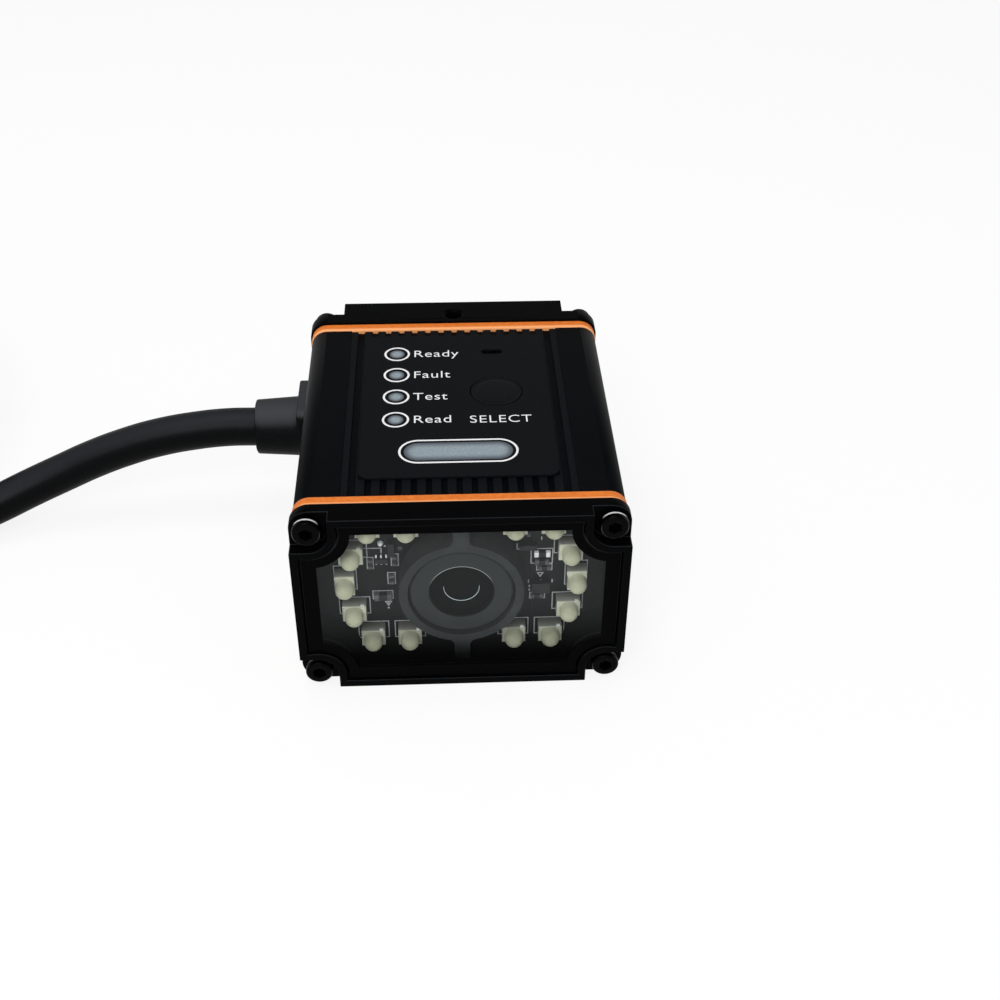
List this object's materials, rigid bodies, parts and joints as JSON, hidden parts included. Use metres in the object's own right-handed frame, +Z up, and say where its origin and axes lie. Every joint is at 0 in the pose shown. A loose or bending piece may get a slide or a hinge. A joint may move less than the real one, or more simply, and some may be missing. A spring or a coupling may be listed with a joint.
{
  "type": "fixed barcode reader",
  "caption": "Small fixed barcode reader: ribbed tube case between notched covers with gaskets, a window with lens and lamps, a control label with a key, and a coiled cable.",
  "frame": {"origin": "under the middle of the case, on the surface that it stands on", "axes": "+Z up, -Y the way the window looks, +X to the right seen from the front"},
  "size_m": [0.202, 0.098, 0.0316],
  "materials": {
    "black_anodised": "matt black anodised",
    "orange_silicone": "matt orange silicone",
    "clear_pane": "clear, polished",
    "lens_glass": "coated optical glass",
    "black_foam": "matt foam tape",
    "black_screw": "black oxide",
    "small_screw": "plain",
    "label_film": "fine matt film",
    "lamp_diffuser": "frosted",
    "key_black": "fine matt",
    "board_black": "black solder mask",
    "led_resin": "milky resin",
    "chip_black": "moulded epoxy",
    "barrel_black": "matt black",
    "pillar_brass": "plain turned",
    "header_ivory": "moulded",
    "cable_jacket": "soft satin jacket",
    "plug_metal": "nickel plated"
  },
  "bodies": {
    "reader": {"front_cover": "black_anodised", "main_housing": "black_anodised", "rear_cover": "black_anodised", "front_gasket": "orange_silicone", "rear_gasket": "orange_silicone", "window_pane": "clear_pane", "front_lens": "lens_glass", "rear_lens": "lens_glass", "window_seal": "black_foam", "front_screws": "black_screw", "rear_screws": "black_screw", "lamp_board_screws": "small_screw", "sensor_board_screws": "small_screw", "control_label": "label_film", "status_light_pipe": "lamp_diffuser", "result_light_pipe": "lamp_diffuser", "illumination_board": "board_black", "indicator_board": "board_black", "sensor_board": "board_black", "decoder_board": "board_black", "illumination_leds": "led_resin", "indicator_leds": "led_resin", "board_components": "chip_black", "decoder_chips": "chip_black", "image_sensor": "chip_black", "tact_switch": "chip_black", "sounder": "chip_black", "lens_shroud": "barrel_black", "lens_barrel": "barrel_black", "lens_holder": "barrel_black", "board_pillars": "pillar_brass", "cable_header": "header_ivory", "plug_tongue": "header_ivory", "wire_loom": "cable_jacket", "cable_boot": "cable_jacket", "cable_lead": "cable_jacket", "cable_coil": "cable_jacket", "cable_tail": "cable_jacket", "plug_overmould": "cable_jacket", "plug_shell": "plug_metal"},
    "button": {"tune_button": "key_black", "switch_plunger": "small_screw"}
  },
  "joints": [
    {"name": "key_press", "type": "slide", "parent": "reader", "child": "button", "axis": [0, 0, -1], "range_m": [0, 0.00025], "stiffness_N_per_m": 300}
  ]
}
